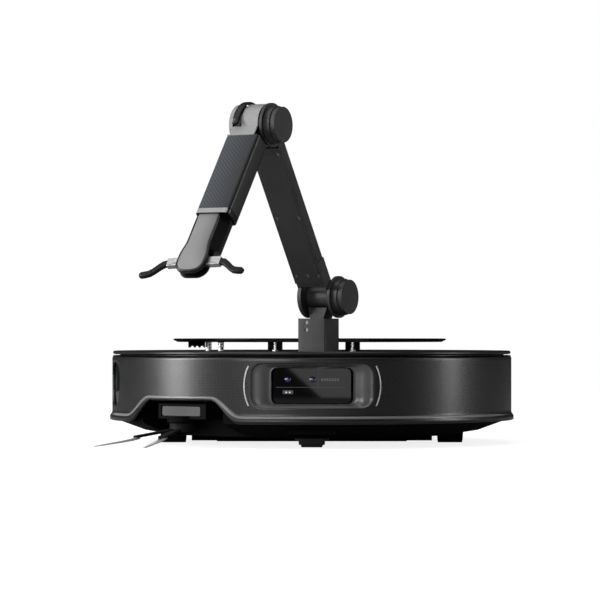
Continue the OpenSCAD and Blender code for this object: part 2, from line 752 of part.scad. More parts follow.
// Textured outer face of the sleeve
module forearm_skin() {
    color([0.16, 0.17, 0.19]) along_fore() difference() {
        translate([0, 0, 20.5]) linear_extrude(73.1) sleeve_outline(0);
        translate([0, 0, 20]) linear_extrude(75) sleeve_outline(0.6);
    }
}
module forearm_bands() {
    color([0.5, 0.5, 0.51]) along_fore() {
        difference() {
            translate([0, 0, 93.9]) linear_extrude(sleeve_len - 93.9) sleeve_outline(0);
            translate([0, 0, 93]) linear_extrude(10) sleeve_outline(0.6);
        }
        difference() {
            rod_x(elbow_r, 1.2, 16.6);
            rod_x(elbow_r - barrel_t, 0, 20);
            box([-6.6, 20], [sleeve_b[0] + 0.6, sleeve_b[1] - 1], [0, sleeve_from + 1]);
        }
        box([1.2, 16.6], [sleeve_b[1] - 1, sleeve_b[1]], [2.2, 12]);
        box([sleeve_s[0] + 1, sleeve_s[1] - 4.4], [sleeve_b[1] - 0.6, sleeve_b[1]], [sleeve_from, 20.3]);
        box([-6.6, 16.6], [sleeve_b[1] - 1, sleeve_b[1]], [11.5, sleeve_from]);
    }
}
module flex_cable() {
    color([0.01, 0.01, 0.01]) along_fore() {
        intersection() {
            difference() { rod_x(19.4, -5.6, 0.6); rod_x(12.5, -8, 3); }
            box([-10, 10], [0, 40], [-14, 0]);
        }
        box([-5.6, 0.6], [12.5, 17], [0, 11]);
    }
}

// ---- Gripper ----

// Head outline across the pins: straight, then widening to a round end
module head_outline(grow) {
    w0 = head_w / 2 + grow;
    w1 = head_wide / 2 + grow;
    translate([head_s, 0]) {
        polygon([[-w0, 62], [w0, 62], [w0, 127], [w1, 138], [w1, 143], [-w1, 143], [-w1, 138], [-w0, 127]]);
        translate([0, head_len - 11.5]) rounded(2 * w1, 23 + 2 * grow, 9);
    }
}
// Stands an outline drawn in (pin, length) coordinates up between two depths
module head_slab(b0, b1) { translate([0, b1, 0]) rotate([90, 0, 0]) linear_extrude(b1 - b0) children(); }
module gripper_housing() {
    color([0.03, 0.03, 0.032]) along_fore() {
        difference() {
            union() {
                head_slab(head_b[0], head_b[1]) head_outline(0);
                translate([0, 0, carriage_a[0]]) linear_extrude(carriage_a[1] - carriage_a[0])
                    polygon([[carriage_s[0], carriage_b[0] + 1], [carriage_s[0] + 1, carriage_b[0]],
                        [carriage_s[1] - 1, carriage_b[0]], [carriage_s[1], carriage_b[0] + 1],
                        [carriage_s[1], carriage_b[1]], [head_s + head_w / 2, head_b[1]],
                        [carriage_s[0], head_b[1]]]);
            }
            for (side = [-1, 1]) translate([head_s + side * finger_s, 0, finger_a]) {
                rod_y(9.5, finger_b[0] - finger_gap, finger_b[1] + finger_gap);
                box([-20, 20], [finger_b[0] - finger_gap, finger_b[1] + finger_gap], [0, 40]);
            }
        }
        for (side = [-1, 1]) translate([head_s + side * finger_s, 0, finger_a])
            rod_y(finger_pin_r, head_b[0] + 0.5, head_b[1] - 0.5);
    }
}
module gripper_faceplate() {
    color([0.62, 0.62, 0.63]) along_fore() head_slab(head_b[1], head_b[1] + face_t)
        intersection() {
            head_outline(-0.8);
            translate([-40, 64]) square([80, 120]);
        }
}
module at_finger(side) {
    along_fore() translate([head_s + side * finger_s, 0, finger_a]) mirrored(side)
        rotate([0, -finger_droop[(side + 1) / 2], 0]) children();
}
module knuckle(side) {
    color([0.8, 0.8, 0.82]) at_finger(side) difference() {
        union() {
            rod_y(4.2, finger_b[0], finger_b[1]);
            box([0, 14.5], finger_b, [-3.4, 4.2]);
        }
        rod_y(finger_pin_r + run, -20, 20);
    }
}
module finger(side) {
    color([0.02, 0.02, 0.02]) at_finger(side) head_slab(finger_b[0] + 0.4, finger_b[1] - 0.4)
        polygon([[14.5, -2.6], [18.5, -2.4], [29, 6.6], [36.5, 7.4], [37.9, 9], [37.5, 12], [35.5, 13],
            [27.5, 12.2], [17.1, 4.2], [14.5, 4]]);
}

chassis_tray();
rear_shell();
top_deck();
arm_bay_tray();
camera_housing();
camera_glass();
camera_lenses();
lamp_bar();
battery_pack();
main_board();
fan_housing();
dust_bin();
charge_contacts();
brush_guard();
brush_motor();
arm_bearing();
chassis_screws();
bumper_shell();
bumper_trim();
light_arcs();
wall_sensor_window();
power_button();
mirrored(-1) wheel_arm();  // wheel_arm_left
mirrored(-1) wheel_hub();  // wheel_hub_left
mirrored(-1) wheel_tyre();  // wheel_tyre_left
wheel_arm();  // wheel_arm_right
wheel_hub();  // wheel_hub_right
wheel_tyre();  // wheel_tyre_right
caster_fork();
caster_wheel();
caster_axle();
side_brush_arm();
side_brush_panel();
side_brush_hub();
side_brush_bristles();
roller_core();
roller_fins();
fan_impeller();
lid_plate();
lid_posts();
lid_brackets();
turntable();
column();
column_screws();
upper_arm_frame();
upper_arm_cover();
upper_arm_screws();
shoulder_cap();
elbow_cap();
forearm_sleeve();
forearm_skin();
forearm_bands();
flex_cable();
gripper_housing();
gripper_faceplate();
knuckle(-1);  // knuckle_left
finger(-1);  // finger_left
knuckle(1);  // knuckle_right
finger(1);  // finger_right
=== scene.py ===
"""Looks of the round floor-cleaning robot with its folding arm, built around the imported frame.

Sizes below are millimetres in the row frame, unless a name says otherwise; MM turns them into metres.
"""

import json
import math
import random

import bmesh
import bpy
from mathutils import Matrix, Vector


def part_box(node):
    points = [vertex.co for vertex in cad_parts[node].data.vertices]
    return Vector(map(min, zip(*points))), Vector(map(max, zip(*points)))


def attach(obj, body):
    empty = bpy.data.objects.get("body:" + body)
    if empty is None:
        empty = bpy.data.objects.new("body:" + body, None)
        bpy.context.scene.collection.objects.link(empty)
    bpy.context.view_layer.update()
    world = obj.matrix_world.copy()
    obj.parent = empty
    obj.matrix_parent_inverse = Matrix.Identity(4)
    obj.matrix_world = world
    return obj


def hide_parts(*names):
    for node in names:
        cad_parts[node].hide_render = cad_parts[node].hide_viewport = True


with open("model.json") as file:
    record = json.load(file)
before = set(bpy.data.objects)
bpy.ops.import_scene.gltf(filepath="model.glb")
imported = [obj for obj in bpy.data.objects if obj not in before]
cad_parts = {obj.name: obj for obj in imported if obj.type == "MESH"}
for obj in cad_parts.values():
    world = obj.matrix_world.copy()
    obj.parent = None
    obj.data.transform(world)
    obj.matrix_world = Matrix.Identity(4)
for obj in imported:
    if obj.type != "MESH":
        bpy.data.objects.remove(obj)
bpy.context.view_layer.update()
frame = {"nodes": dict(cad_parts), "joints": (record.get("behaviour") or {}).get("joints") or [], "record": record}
MM = 0.001
nodes = frame["nodes"]
joints = {j["name"]: j for j in frame["joints"]}
slot_of = {p["node"]: p["material_slot"] for p in frame["record"]["subparts"]}


def to_mm(v):
    return Vector(v) / MM


# ---------------------------------------------------------------- sizes

BODY_R = to_mm(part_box("rear_shell")[1]).x - 2.0
WALL = 2.6
BUMPER_TOP = to_mm(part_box("bumper_shell")[1]).z
FOOT_Z = to_mm(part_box("bumper_shell")[0]).z
FLARE = 2.0
SEAM_Y = 1.0
WINDOW_X, WINDOW_Z = 0.4, 52.2
WINDOW_Y = to_mm(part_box("camera_glass")[0]).y
RECESS = (99.6, 36.2, 9.0)
RECESS_END = (68.6, 31.2, 5.5)
SENSOR_TURN = math.radians(-78.4)
SENSOR_Z = 52.4
SENSOR = (45.0, 37.0, 13.0)
HUMP_X = (-157.0, -137.0, -84.0, -58.0)
HUMP_BASE, HUMP_RISE = 26.0, 16.0
# Across and along the window: dividing lines, grille, lamps and lenses
BAR_LONG, BAR_SHORT, BAR_THIN = 58.5, 13.0, 0.45
GRILLE_X, GRILLE_Z, GRILLE_STEP, GRILLE_SLOTS = 8.6, 57.4, 2.15, 7
LAMP_X, LAMP_Z = (-21.0, -18.2), 46.9
LENS_X, LENS_Z = (-19.7, 0.7), 57.5
# Side-brush tufts: turns in degrees, strands in each, and where a strand starts
TUFT_TURNS = (-18.0, 22.0)
STRANDS, STRAND_ROOT, STRAND_R = 46, 40, 0.17
# Periods of the chequers, and the reach across the sleeve's face of the painted shade that darkens it towards its
# inner edge
WALL_CHECK, SLEEVE_CHECK = 2.6, 3.4
SLEEVE_PAINTED_SHADE = (19.0, -7.0)
CABLE_R = 18.3
HEAD_S = 2.2
FINGER_DROOP = {"left": 3.8, "right": -2.2}


def joint_matrix(origin, x, y, z):
    """Maps local millimetres to the row frame, in millimetres."""
    m = Matrix((x, y, z)).transposed().to_4x4()
    m.translation = to_mm(origin)
    return m


PIN = Vector(joints["elbow_fold"]["axis"]).normalized()
FORE_W = Vector(joints["gripper_extend"]["axis"]).normalized()
FORE_N = -Vector(joints["finger_right_close"]["axis"]).normalized()
FORE = joint_matrix(joints["elbow_fold"]["pos_m"], PIN, FORE_N, FORE_W)
BRUSH_HUB = to_mm(joints["side_brush_spin"]["pos_m"])


# ---------------------------------------------------------------- mesh helpers

def mesh_object(name, vertices, faces, smooth=True):
    """An object from millimetre points in the row frame."""
    mesh = bpy.data.meshes.new(name)
    mesh.from_pydata([Vector(v) * MM for v in vertices], [], faces)
    mesh.validate()
    bm = bmesh.new()
    bm.from_mesh(mesh)
    bmesh.ops.remove_doubles(bm, verts=bm.verts, dist=1e-6)
    bmesh.ops.recalc_face_normals(bm, faces=bm.faces)
    bm.to_mesh(mesh)
    bm.free()
    for p in mesh.polygons:
        p.use_smooth = smooth
    obj = bpy.data.objects.new(name, mesh)
    bpy.context.scene.collection.objects.link(obj)
    return obj


def join(parts):
    """One (vertices, faces) pair from several."""
    vertices, faces = [], []
    for vs, fs in parts:
        base = len(vertices)
        vertices += vs
        faces += [[base + i for i in f] for f in fs]
    return vertices, faces


def loft(rings, closed=True, caps=True):
    """Quads between rings of equal length; caps close the first and last ring."""
    n = len(rings[0])
    vertices = [p for ring in rings for p in ring]
    faces = []
    for k in range(len(rings) - 1):
        for i in range(n if closed else n - 1):
            j = (i + 1) % n
            faces.append([k * n + i, k * n + j, (k + 1) * n + j, (k + 1) * n + i])
    if caps:
        faces.append(list(range(n))[::-1])
        faces.append([(len(rings) - 1) * n + i for i in range(n)])
    return vertices, faces


def prism(outline, place, low, high, edge=0.0, steps=3):
    """A plate with a flat outline from low to high, its upper edge rounded by edge.

    place(u, v, w) gives the point for an outline position and a height.
    """
    cx = sum(p[0] for p in outline) / len(outline)
    cy = sum(p[1] for p in outline) / len(outline)
    half = max(max(abs(p[0] - cx), abs(p[1] - cy)) for p in outline)
    levels = [(0.0, low), (0.0, high - edge)]
    for i in range(1, steps + 1):
        a = math.pi / 2 * i / steps
        if edge:
            levels.append((edge * (1 - math.cos(a)), high - edge + edge * math.sin(a)))
    rings = []
    for inset, w in levels:
        k = 1 - inset / half
        rings.append([place(cx + (p[0] - cx) * k, cy + (p[1] - cy) * k, w) for p in outline])
    return loft(rings)


def rounded_rect(w, h, r, steps=6):
    """Points round a rectangle with round corners, centred on the origin."""
    points = []
    for cx, cy, start in ((1, 1, 0), (-1, 1, 90), (-1, -1, 180), (1, -1, 270)):
        for i in range(steps + 1):
            a = math.radians(start + 90 * i / steps)
            points.append((cx * (w / 2 - r) + r * math.cos(a), cy * (h / 2 - r) + r * math.sin(a)))
    return points


def round_off(u, v, w, h, r):
    """Moves a point of the square -1..1 outline to the outline of a rectangle with round corners."""
    px, py = u * w / 2, v * h / 2
    cx = max(-(w / 2 - r), min(w / 2 - r, px))
    cy = max(-(h / 2 - r), min(h / 2 - r, py))
    dx, dy = px - cx, py - cy
    length = math.hypot(dx, dy)
    if length < 1e-9:
        return px, py
    return cx + dx / length * r, cy + dy / length * r


def lathe(profile, axis_matrix, steps=48):
    """A solid of revolution: profile is (radius, x) pairs round the local x axis."""
    rings = []
    for r, x in profile:
        rings.append([axis_matrix @ Vector((x, r * math.cos(t), r * math.sin(t)))
                      for t in (2 * math.pi * i / steps for i in range(steps))])
    return loft(rings)


def tube(path, radii, sides=10, up=Vector((0, 0, 1)), flat=1.0):
    """A tube along a path; radii is one number per point, flat squashes it along up."""
    rings = []
    for k, p in enumerate(path):
        a, b = path[max(k - 1, 0)], path[min(k + 1, len(path) - 1)]
        along = (Vector(b) - Vector(a)).normalized()
        side = along.cross(up).normalized()
        over = side.cross(along).normalized()
        rings.append([Vector(p) + side * radii[k] * math.cos(t) + over * radii[k] * flat * math.sin(t)
                      for t in (2 * math.pi * i / sides for i in range(sides))])
    return loft(rings)


def add_bevel(obj, width, segments=2, angle=38):
    """Rounds the sharp edges of a CAD or built piece without moving its own points."""
    weld = obj.modifiers.new("weld", "WELD")
    weld.merge_threshold = 2e-6
    bevel = obj.modifiers.new("edges", "BEVEL")
    bevel.width = width * MM
    bevel.segments = segments
    bevel.limit_method = "ANGLE"
    bevel.angle_limit = math.radians(angle)
    bevel.harden_normals = True
    bevel.use_clamp_overlap = True


def finish_piece(obj, body, material, replaced=()):
    obj.data.materials.clear()
    obj.data.materials.append(material)
    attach(obj, body)
    if replaced:
        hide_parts(*replaced)
    return obj


# ---------------------------------------------------------------- materials

class Shader:
    """A Principled material with small helpers for its node tree."""

    def __init__(self, name, colour, rough, metallic=0.0, specular=0.5, coat=0.0, coat_rough=0.1):
        self.mat = bpy.data.materials.new(name)
        self.mat.use_nodes = True
        self.tree = self.mat.node_tree
        self.bsdf = self.tree.nodes["Principled BSDF"]
        self.colour = colour
        self.rough = rough
        self.bsdf.inputs["Base Color"].default_value = (*colour, 1)
        self.bsdf.inputs["Roughness"].default_value = rough
        self.bsdf.inputs["Metallic"].default_value = metallic
        self.bsdf.inputs["Specular IOR Level"].default_value = specular
        self.bsdf.inputs["Coat Weight"].default_value = coat
        self.bsdf.inputs["Coat Roughness"].default_value = coat_rough
        self.coords = self.node("ShaderNodeTexCoord").outputs["Object"]
        self.height = None

    def node(self, kind, **values):
        n = self.tree.nodes.new(kind)
        for k, v in values.items():
            setattr(n, k, v)
        return n

    def link(self, a, b):
        self.tree.links.new(a, b)

    def math(self, operation, a, b=0.0):
        n = self.node("ShaderNodeMath", operation=operation)
        for socket, value in zip(n.inputs, (a, b)):
            if isinstance(value, (int, float)):
                socket.default_value = value
            else:
                self.link(value, socket)
        return n.outputs[0]

    def dot(self, axis, origin=(0, 0, 0)):
        """Distance along an axis from an origin, in millimetres, as a socket."""
        shift = self.node("ShaderNodeVectorMath", operation="SUBTRACT")
        self.link(self.coords, shift.inputs[0])
        shift.inputs[1].default_value = origin
        n = self.node("ShaderNodeVectorMath", operation="DOT_PRODUCT")
        self.link(shift.outputs[0], n.inputs[0])
        n.inputs[1].default_value = Vector(axis) / MM
        return n.outputs["Value"]

    def noise(self, scale, detail=3.0, stretch=(1, 1, 1)):
        mapping = self.node("ShaderNodeMapping")
        mapping.inputs["Scale"].default_value = stretch
        self.link(self.coords, mapping.inputs["Vector"])
        n = self.node("ShaderNodeTexNoise")
        n.inputs["Scale"].default_value = scale
        n.inputs["Detail"].default_value = detail
        self.link(mapping.outputs[0], n.inputs["Vector"])
        return n.outputs["Fac"]

    def spread(self, value, low, high):
        n = self.node("ShaderNodeMapRange")
        n.inputs["From Min"].default_value = 0.3
        n.inputs["From Max"].default_value = 0.7
        n.inputs["To Min"].default_value = low
        n.inputs["To Max"].default_value = high
        self.link(value, n.inputs["Value"])
        return n.outputs["Result"]

    def tint(self, value, dark, light):
        """Base colour runs from dark to light times the own colour as value goes from 0 to 1."""
        n = self.node("ShaderNodeMix", data_type="RGBA")
        n.inputs["A"].default_value = (*[c * dark for c in self.colour], 1)
        n.inputs["B"].default_value = (*[min(c * light, 1) for c in self.colour], 1)
        self.link(value, n.inputs["Factor"])
        self.link(n.outputs["Result"], self.bsdf.inputs["Base Color"])

    def roughen(self, value, amount):
        rough = self.spread(value, self.rough - amount, self.rough + amount)
        self.link(rough, self.bsdf.inputs["Roughness"])

    def bump(self, value, strength, distance):
        n = self.node("ShaderNodeBump")
        n.inputs["Strength"].default_value = strength
        n.inputs["Distance"].default_value = distance * MM
        self.link(value, n.inputs["Height"])
        if self.height is not None:
            self.link(self.height, n.inputs["Normal"])
        self.height = n.outputs["Normal"]
        self.link(self.height, self.bsdf.inputs["Normal"])

    def grain(self, size=0.5, strength=0.25):
        """Fine moulded grain: size is the grain in millimetres."""
        fine = self.noise(1 / (size * MM), 2.0)
        self.bump(fine, strength, 0.04)
        wide = self.noise(28, 3.0)
        self.tint(self.spread(wide, 0.0, 1.0), 0.86, 1.14)
        self.roughen(wide, 0.05)
        return self

    def brushed(self, axis_scale, strength=0.2):
        lines = self.noise(60, 2.0, axis_scale)
        self.bump(lines, strength, 0.02)
        self.tint(self.spread(lines, 0.0, 1.0), 0.88, 1.1)
        self.roughen(lines, 0.08)
        return self


def weave(shader, u, v, period):
    """Product of two sine waves along u and v, from 0 to 1: a chequer whose light spots form diamonds."""
    k = 2 * math.pi / period
    a = shader.math("SINE", shader.math("MULTIPLY", u, k))
    b = shader.math("SINE", shader.math("MULTIPLY", v, k))
    return shader.math("ADD", shader.math("MULTIPLY", shader.math("MULTIPLY", a, b), 0.5), 0.5)


def body_black():
    """Satin black with a fine diagonal chequer that runs round the wall."""
    s = Shader("body_black", (0.0045, 0.0047, 0.0052), 0.32, specular=0.42)
    split = s.node("ShaderNodeSeparateXYZ")
    s.link(s.coords, split.inputs[0])
    turn = s.math("ARCTAN2", split.outputs["X"], s.math("MULTIPLY", split.outputs["Y"], -1.0))
    around = s.math("MULTIPLY", turn, BODY_R)
    up = s.math("MULTIPLY", split.outputs["Z"], 1 / MM)
    checks = weave(s, around, up, WALL_CHECK)
    s.tint(checks, 0.5, 1.9)
    n = s.node("ShaderNodeMapRange")
    n.inputs["To Min"].default_value = 0.24
    n.inputs["To Max"].default_value = 0.46
    s.link(checks, n.inputs["Value"])
    s.link(n.outputs["Result"], s.bsdf.inputs["Roughness"])
    s.bump(checks, 0.15, 0.03)
    return s.mat


def sleeve_grey():
    """Mesh-like face of the forearm: small diamonds, darkened by painted shade towards its inner edge."""
    s = Shader("sleeve_grey", (0.0190, 0.0215, 0.0265), 0.42, specular=0.3)
    origin = joints["elbow_fold"]["pos_m"]
    across = s.dot(PIN, origin)
    out = s.dot(FORE_N, origin)
    along = s.dot(FORE_W, origin)
    checks = weave(s, s.math("ADD", across, out), along, SLEEVE_CHECK)
    # Painted shade: the sleeve's colour darkens across its face towards the inner edge, in place of light falling
    # off there
    fade = s.node("ShaderNodeMapRange")
    fade.inputs["From Min"].default_value, fade.inputs["From Max"].default_value = SLEEVE_PAINTED_SHADE
    fade.inputs["To Min"].default_value = 0.05
    fade.inputs["To Max"].default_value = 1.0
    s.link(across, fade.inputs["Value"])
    # share is the chequer times this painted shade
    share = s.math("MULTIPLY", s.math("ADD", s.math("MULTIPLY", checks, 0.95), 0.05), fade.outputs["Result"])
    s.tint(share, 0.12, 2.9)
    s.bump(checks, 0.35, 0.06)
    return s.mat


def window_black():
    """Smooth dark glass, so that its reflections stay sharp."""
    s = Shader("window_black", (0.003, 0.003, 0.0036), 0.02, specular=0.4)
    s.tint(s.spread(s.noise(28, 3.0), 0.0, 1.0), 0.9, 1.1)
    return s.mat


def plain(name, colour, rough, grain=0.5, strength=0.25, **options):
    return Shader(name, colour, rough, **options).grain(grain, strength).mat


def metal(name, colour, rough, stretch=(1, 1, 14)):
    return Shader(name, colour, rough, metallic=1.0).brushed(stretch).mat


MATERIALS = {
    "body_black": body_black(),
    "tray_black": plain("tray_black", (0.0025, 0.0025, 0.0028), 0.6, 0.7, specular=0.03),
    "deck_black": plain("deck_black", (0.006, 0.006, 0.0065), 0.34, 0.4, 0.15, specular=0.3),
    "lid_black": plain("lid_black", (0.002, 0.002, 0.0023), 0.25, 0.6, 0.06, specular=0.12),
    "window_black": window_black(),
    "lens_blue": plain("lens_blue", (0.006, 0.007, 0.06), 0.06, 1.0, 0.01, coat=1.0, coat_rough=0.02),
    "lamp_white": plain("lamp_white", (0.82, 0.83, 0.86), 0.3, 0.5, 0.1),
    "battery_wrap": plain("battery_wrap", (0.05, 0.12, 0.32), 0.35, 0.8),
    "board_green": plain("board_green", (0.03, 0.16, 0.07), 0.45, 0.6),
    "grey_plastic": plain("grey_plastic", (0.010, 0.010, 0.011), 0.42, specular=0.3),
    "bin_smoke": plain("bin_smoke", (0.06, 0.06, 0.065), 0.25, 0.6, 0.1),
    "contact_metal": metal("contact_metal", (0.72, 0.66, 0.48), 0.3, (14, 1, 1)),
    "motor_steel": metal("motor_steel", (0.55, 0.55, 0.57), 0.34, (14, 1, 1)),
    "bright_aluminium": metal("bright_aluminium", (0.62, 0.62, 0.64), 0.28),
    "screw_steel": metal("screw_steel", (0.16, 0.16, 0.163), 0.42, (6, 6, 1)),
    "trim_silver": plain("trim_silver", (0.12, 0.12, 0.125), 0.34, 0.3, 0.1, specular=0.6),
    "light_silver": plain("light_silver", (0.42, 0.43, 0.45), 0.3, 0.4, 0.05),
    "hub_grey": plain("hub_grey", (0.03, 0.03, 0.032), 0.45),
    "tyre_black": plain("tyre_black", (0.004, 0.004, 0.004), 0.72, 0.9, 0.6, specular=0.2),
    "caster_black": plain("caster_black", (0.05, 0.05, 0.052), 0.45, specular=0.5),
    "axle_steel": metal("axle_steel", (0.62, 0.62, 0.64), 0.25, (14, 1, 1)),
    "bristle_white": plain("bristle_white", (0.42, 0.42, 0.42), 0.35, 0.3, 0.1),
    "brush_rubber": plain("brush_rubber", (0.006, 0.0062, 0.0068), 0.6, 0.7, 0.4, specular=0.12),
    "arm_black": plain("arm_black", (0.021, 0.0212, 0.022), 0.40, 0.35, 0.2, specular=0.3),
    "arm_gloss": plain("arm_gloss", (0.018, 0.018, 0.0188), 0.34, 0.5, 0.08, specular=0.32),
    "sleeve_grey": sleeve_grey(),
    "band_grey": plain("band_grey", (0.20, 0.20, 0.202), 0.42, 0.3, 0.1, specular=0.35),
    "cable_black": plain("cable_black", (0.003, 0.003, 0.0032), 0.4, 0.6, 0.2, specular=0.25),
    "head_black": plain("head_black", (0.004, 0.004, 0.0042), 0.28, 0.5, 0.08, specular=0.3),
    "face_silver": plain("face_silver", (0.15, 0.15, 0.151), 0.45, 0.3, 0.08, specular=0.3),
    "knuckle_silver": metal("knuckle_silver", (0.34, 0.34, 0.345), 0.34),
    "finger_black": plain("finger_black", (0.004, 0.004, 0.0042), 0.45, 0.5, 0.3, specular=0.12),
}
# Lighter grey on the camera recess than on the wall: painted light, standing in for the light on the recess's
# sides and lower lip
RECESS_PAINTED_LIGHT = plain("recess_painted_light", (0.075, 0.075, 0.077), 0.32, 0.35, 0.12, specular=0.5)

# Edge rounding of the CAD nodes that show, in millimetres
EDGE = {
    "top_deck": 0.5, "lid_plate": 0.4, "lid_brackets": 0.4, "camera_glass": 0.3, "column": 0.8,
    "upper_arm_frame": 0.7, "upper_arm_cover": 0.25, "shoulder_cap": 0.7, "elbow_cap": 0.7,
    "forearm_sleeve": 0.6, "forearm_skin": 0.25, "forearm_bands": 0.25, "gripper_housing": 1.0,
    "knuckle_left": 0.5, "knuckle_right": 0.5, "turntable": 0.6, "rear_shell": 0.5, "brush_guard": 0.6,
    "side_brush_arm": 0.7, "side_brush_panel": 0.3, "side_brush_hub": 0.6, "caster_fork": 0.6,
    "caster_wheel": 0.8, "wheel_hub_left": 0.5, "wheel_hub_right": 0.5, "power_button": 0.5,
}


def dress_nodes():
    """Materials and rounded edges for the CAD nodes."""
    for name, obj in nodes.items():
        obj.data.materials.clear()
        obj.data.materials.append(MATERIALS[slot_of[name]])
        custom = obj.data.attributes.get("custom_normal")
        if custom is not None:
            obj.data.attributes.remove(custom)
        for p in obj.data.polygons:
            p.use_smooth = True
        add_bevel(obj, EDGE.get(name, 0.2))


def repaint(name, material, to_local, inside):
    """Gives a second material to the faces of a CAD node whose centres are inside a region."""
    data = nodes[name].data
    data.materials.append(material)
    matrix = nodes[name].matrix_world
    for p in data.polygons:
        if inside(to_local @ (matrix @ p.center / MM)):
            p.material_index = len(data.materials) - 1


def repaint_arm():
    """Dark sides and a band on the front only for the sleeve; a light rim for the disc left of the elbow."""
    to_fore = FORE.inverted()
    repaint("forearm_sleeve", MATERIALS["head_black"], to_fore, lambda p: True)
    repaint("side_brush_hub", MATERIALS["brush_rubber"], to_fore, lambda p: True)
    repaint("forearm_bands", MATERIALS["head_black"], to_fore, lambda p: p.z > 90 and p.y < 12.9)
    repaint("upper_arm_frame", MATERIALS["band_grey"], to_fore,
            lambda p: -10.4 < p.x < -7.1 and 15.5 < math.hypot(p.y, p.z) < 19)


# ---------------------------------------------------------------- bumper

def ramp(t):
    c = min(max(t, 0.0), 1.0)
    return c * c * (3 - 2 * c)


def hump(x, inset=0.0):
    """0 along the wall, 1 over the side-brush opening."""
    rise = ramp((x - HUMP_X[0] - inset) / (HUMP_X[1] - HUMP_X[0]))
    fall = ramp((x - HUMP_X[2] + inset) / (HUMP_X[3] - HUMP_X[2]))
    return rise * (1 - fall)


def on_wall(turn, z, r=BODY_R):
    return Vector((r * math.sin(turn), -r * math.cos(turn), z))


def wall_column(turn):
    """Profile of the bumper at one place round the wall, from its foot to its top, as (radius, z)."""
    x = BODY_R * math.sin(turn)
    lift = hump(x)
    foot = FOOT_Z + (HUMP_BASE + HUMP_RISE - 2.0 - FOOT_Z) * hump(x, 1.5)
    flare = FLARE * (1 - lift)
    low = [(BODY_R - WALL, foot + 1.2), (BODY_R + flare - 1.2, foot), (BODY_R + flare, foot + 0.5),
           (BODY_R + flare, foot + 0.5 + 3.1 * (1 - lift)),
           (BODY_R + 0.12 * flare, foot + 1.2 + 5.2 * (1 - lift))]
    base = foot + 1.6 + 5.6 * (1 - lift)
    top = BUMPER_TOP - 1.4
    main = [(BODY_R, base + (top - base) * i / WALL_ROWS) for i in range(WALL_ROWS + 1)]
    crown = [(BODY_R - 0.25, BUMPER_TOP - 0.6), (BODY_R - 0.9, BUMPER_TOP - 0.1),
             (BODY_R - WALL, BUMPER_TOP)]
    return low + main + crown


WALL_ROWS = 24
WALL_STEPS = 358
HOLE_ROWS = (6, 28)


def ring_targets(kind):
    """Rings of a hole in the wall, from the grid's edge inwards: (width, height, corner, depth, share)."""
    if kind == "camera":
        w, h, r = RECESS
        end_w, end_h, end_r = RECESS_END
        rings = [(w + 5, h + 2.4, r + 2, 0.0, 0.0), (w + 1.2, h + 1.0, r + 0.5, 0.0, 0.0),
                 (w, h, r, 0.35, 0.0), (w - 1.2, h - 0.9, r - 0.4, 1.3, 0.0)]
        for i in range(1, 9):
            t = i / 8
            s = t * t * (3 - 2 * t)
            rings.append((w - 1.2 + (end_w - w + 1.2) * t, h - 0.9 + (end_h - h + 0.9) * t ** 0.8,
                          r - 0.4 + (end_r - r + 0.4) * t, 1.3 + 1.6 * math.sin(math.pi * t) * (1 - t), s))
        rings.append((end_w - 0.8, end_h - 0.8, end_r - 0.4, 0.5, 1.0))
        rings.append((end_w - 0.9, end_h - 0.9, end_r - 0.4, 3.0, 1.0))
        return rings
    w, h, r = SENSOR
    return [(w + 4, h + 3, r + 1.5, 0.0, 0.0), (w + 1, h + 1, r + 0.5, 0.0, 0.0), (w, h, r, 0.3, 0.0),
            (w - 0.8, h - 0.8, r - 0.4, 1.1, 0.0), (w - 1.0, h - 1.0, r - 0.5, 2.4, 0.0)]


def hole_point(kind, ring, u, v):
    w, h, r, depth, share = ring
    px, pz = round_off(u, v, w, h, r)
    if kind == "camera":
        x, z = WINDOW_X + px, WINDOW_Z + pz
        y = -math.sqrt(BODY_R ** 2 - x ** 2) + depth * (1 - share)
        return Vector((x, y + (WINDOW_Y + 0.6 + depth * share - y) * share, z))
    return on_wall(SENSOR_TURN + px / BODY_R, SENSOR_Z + pz, BODY_R - depth)


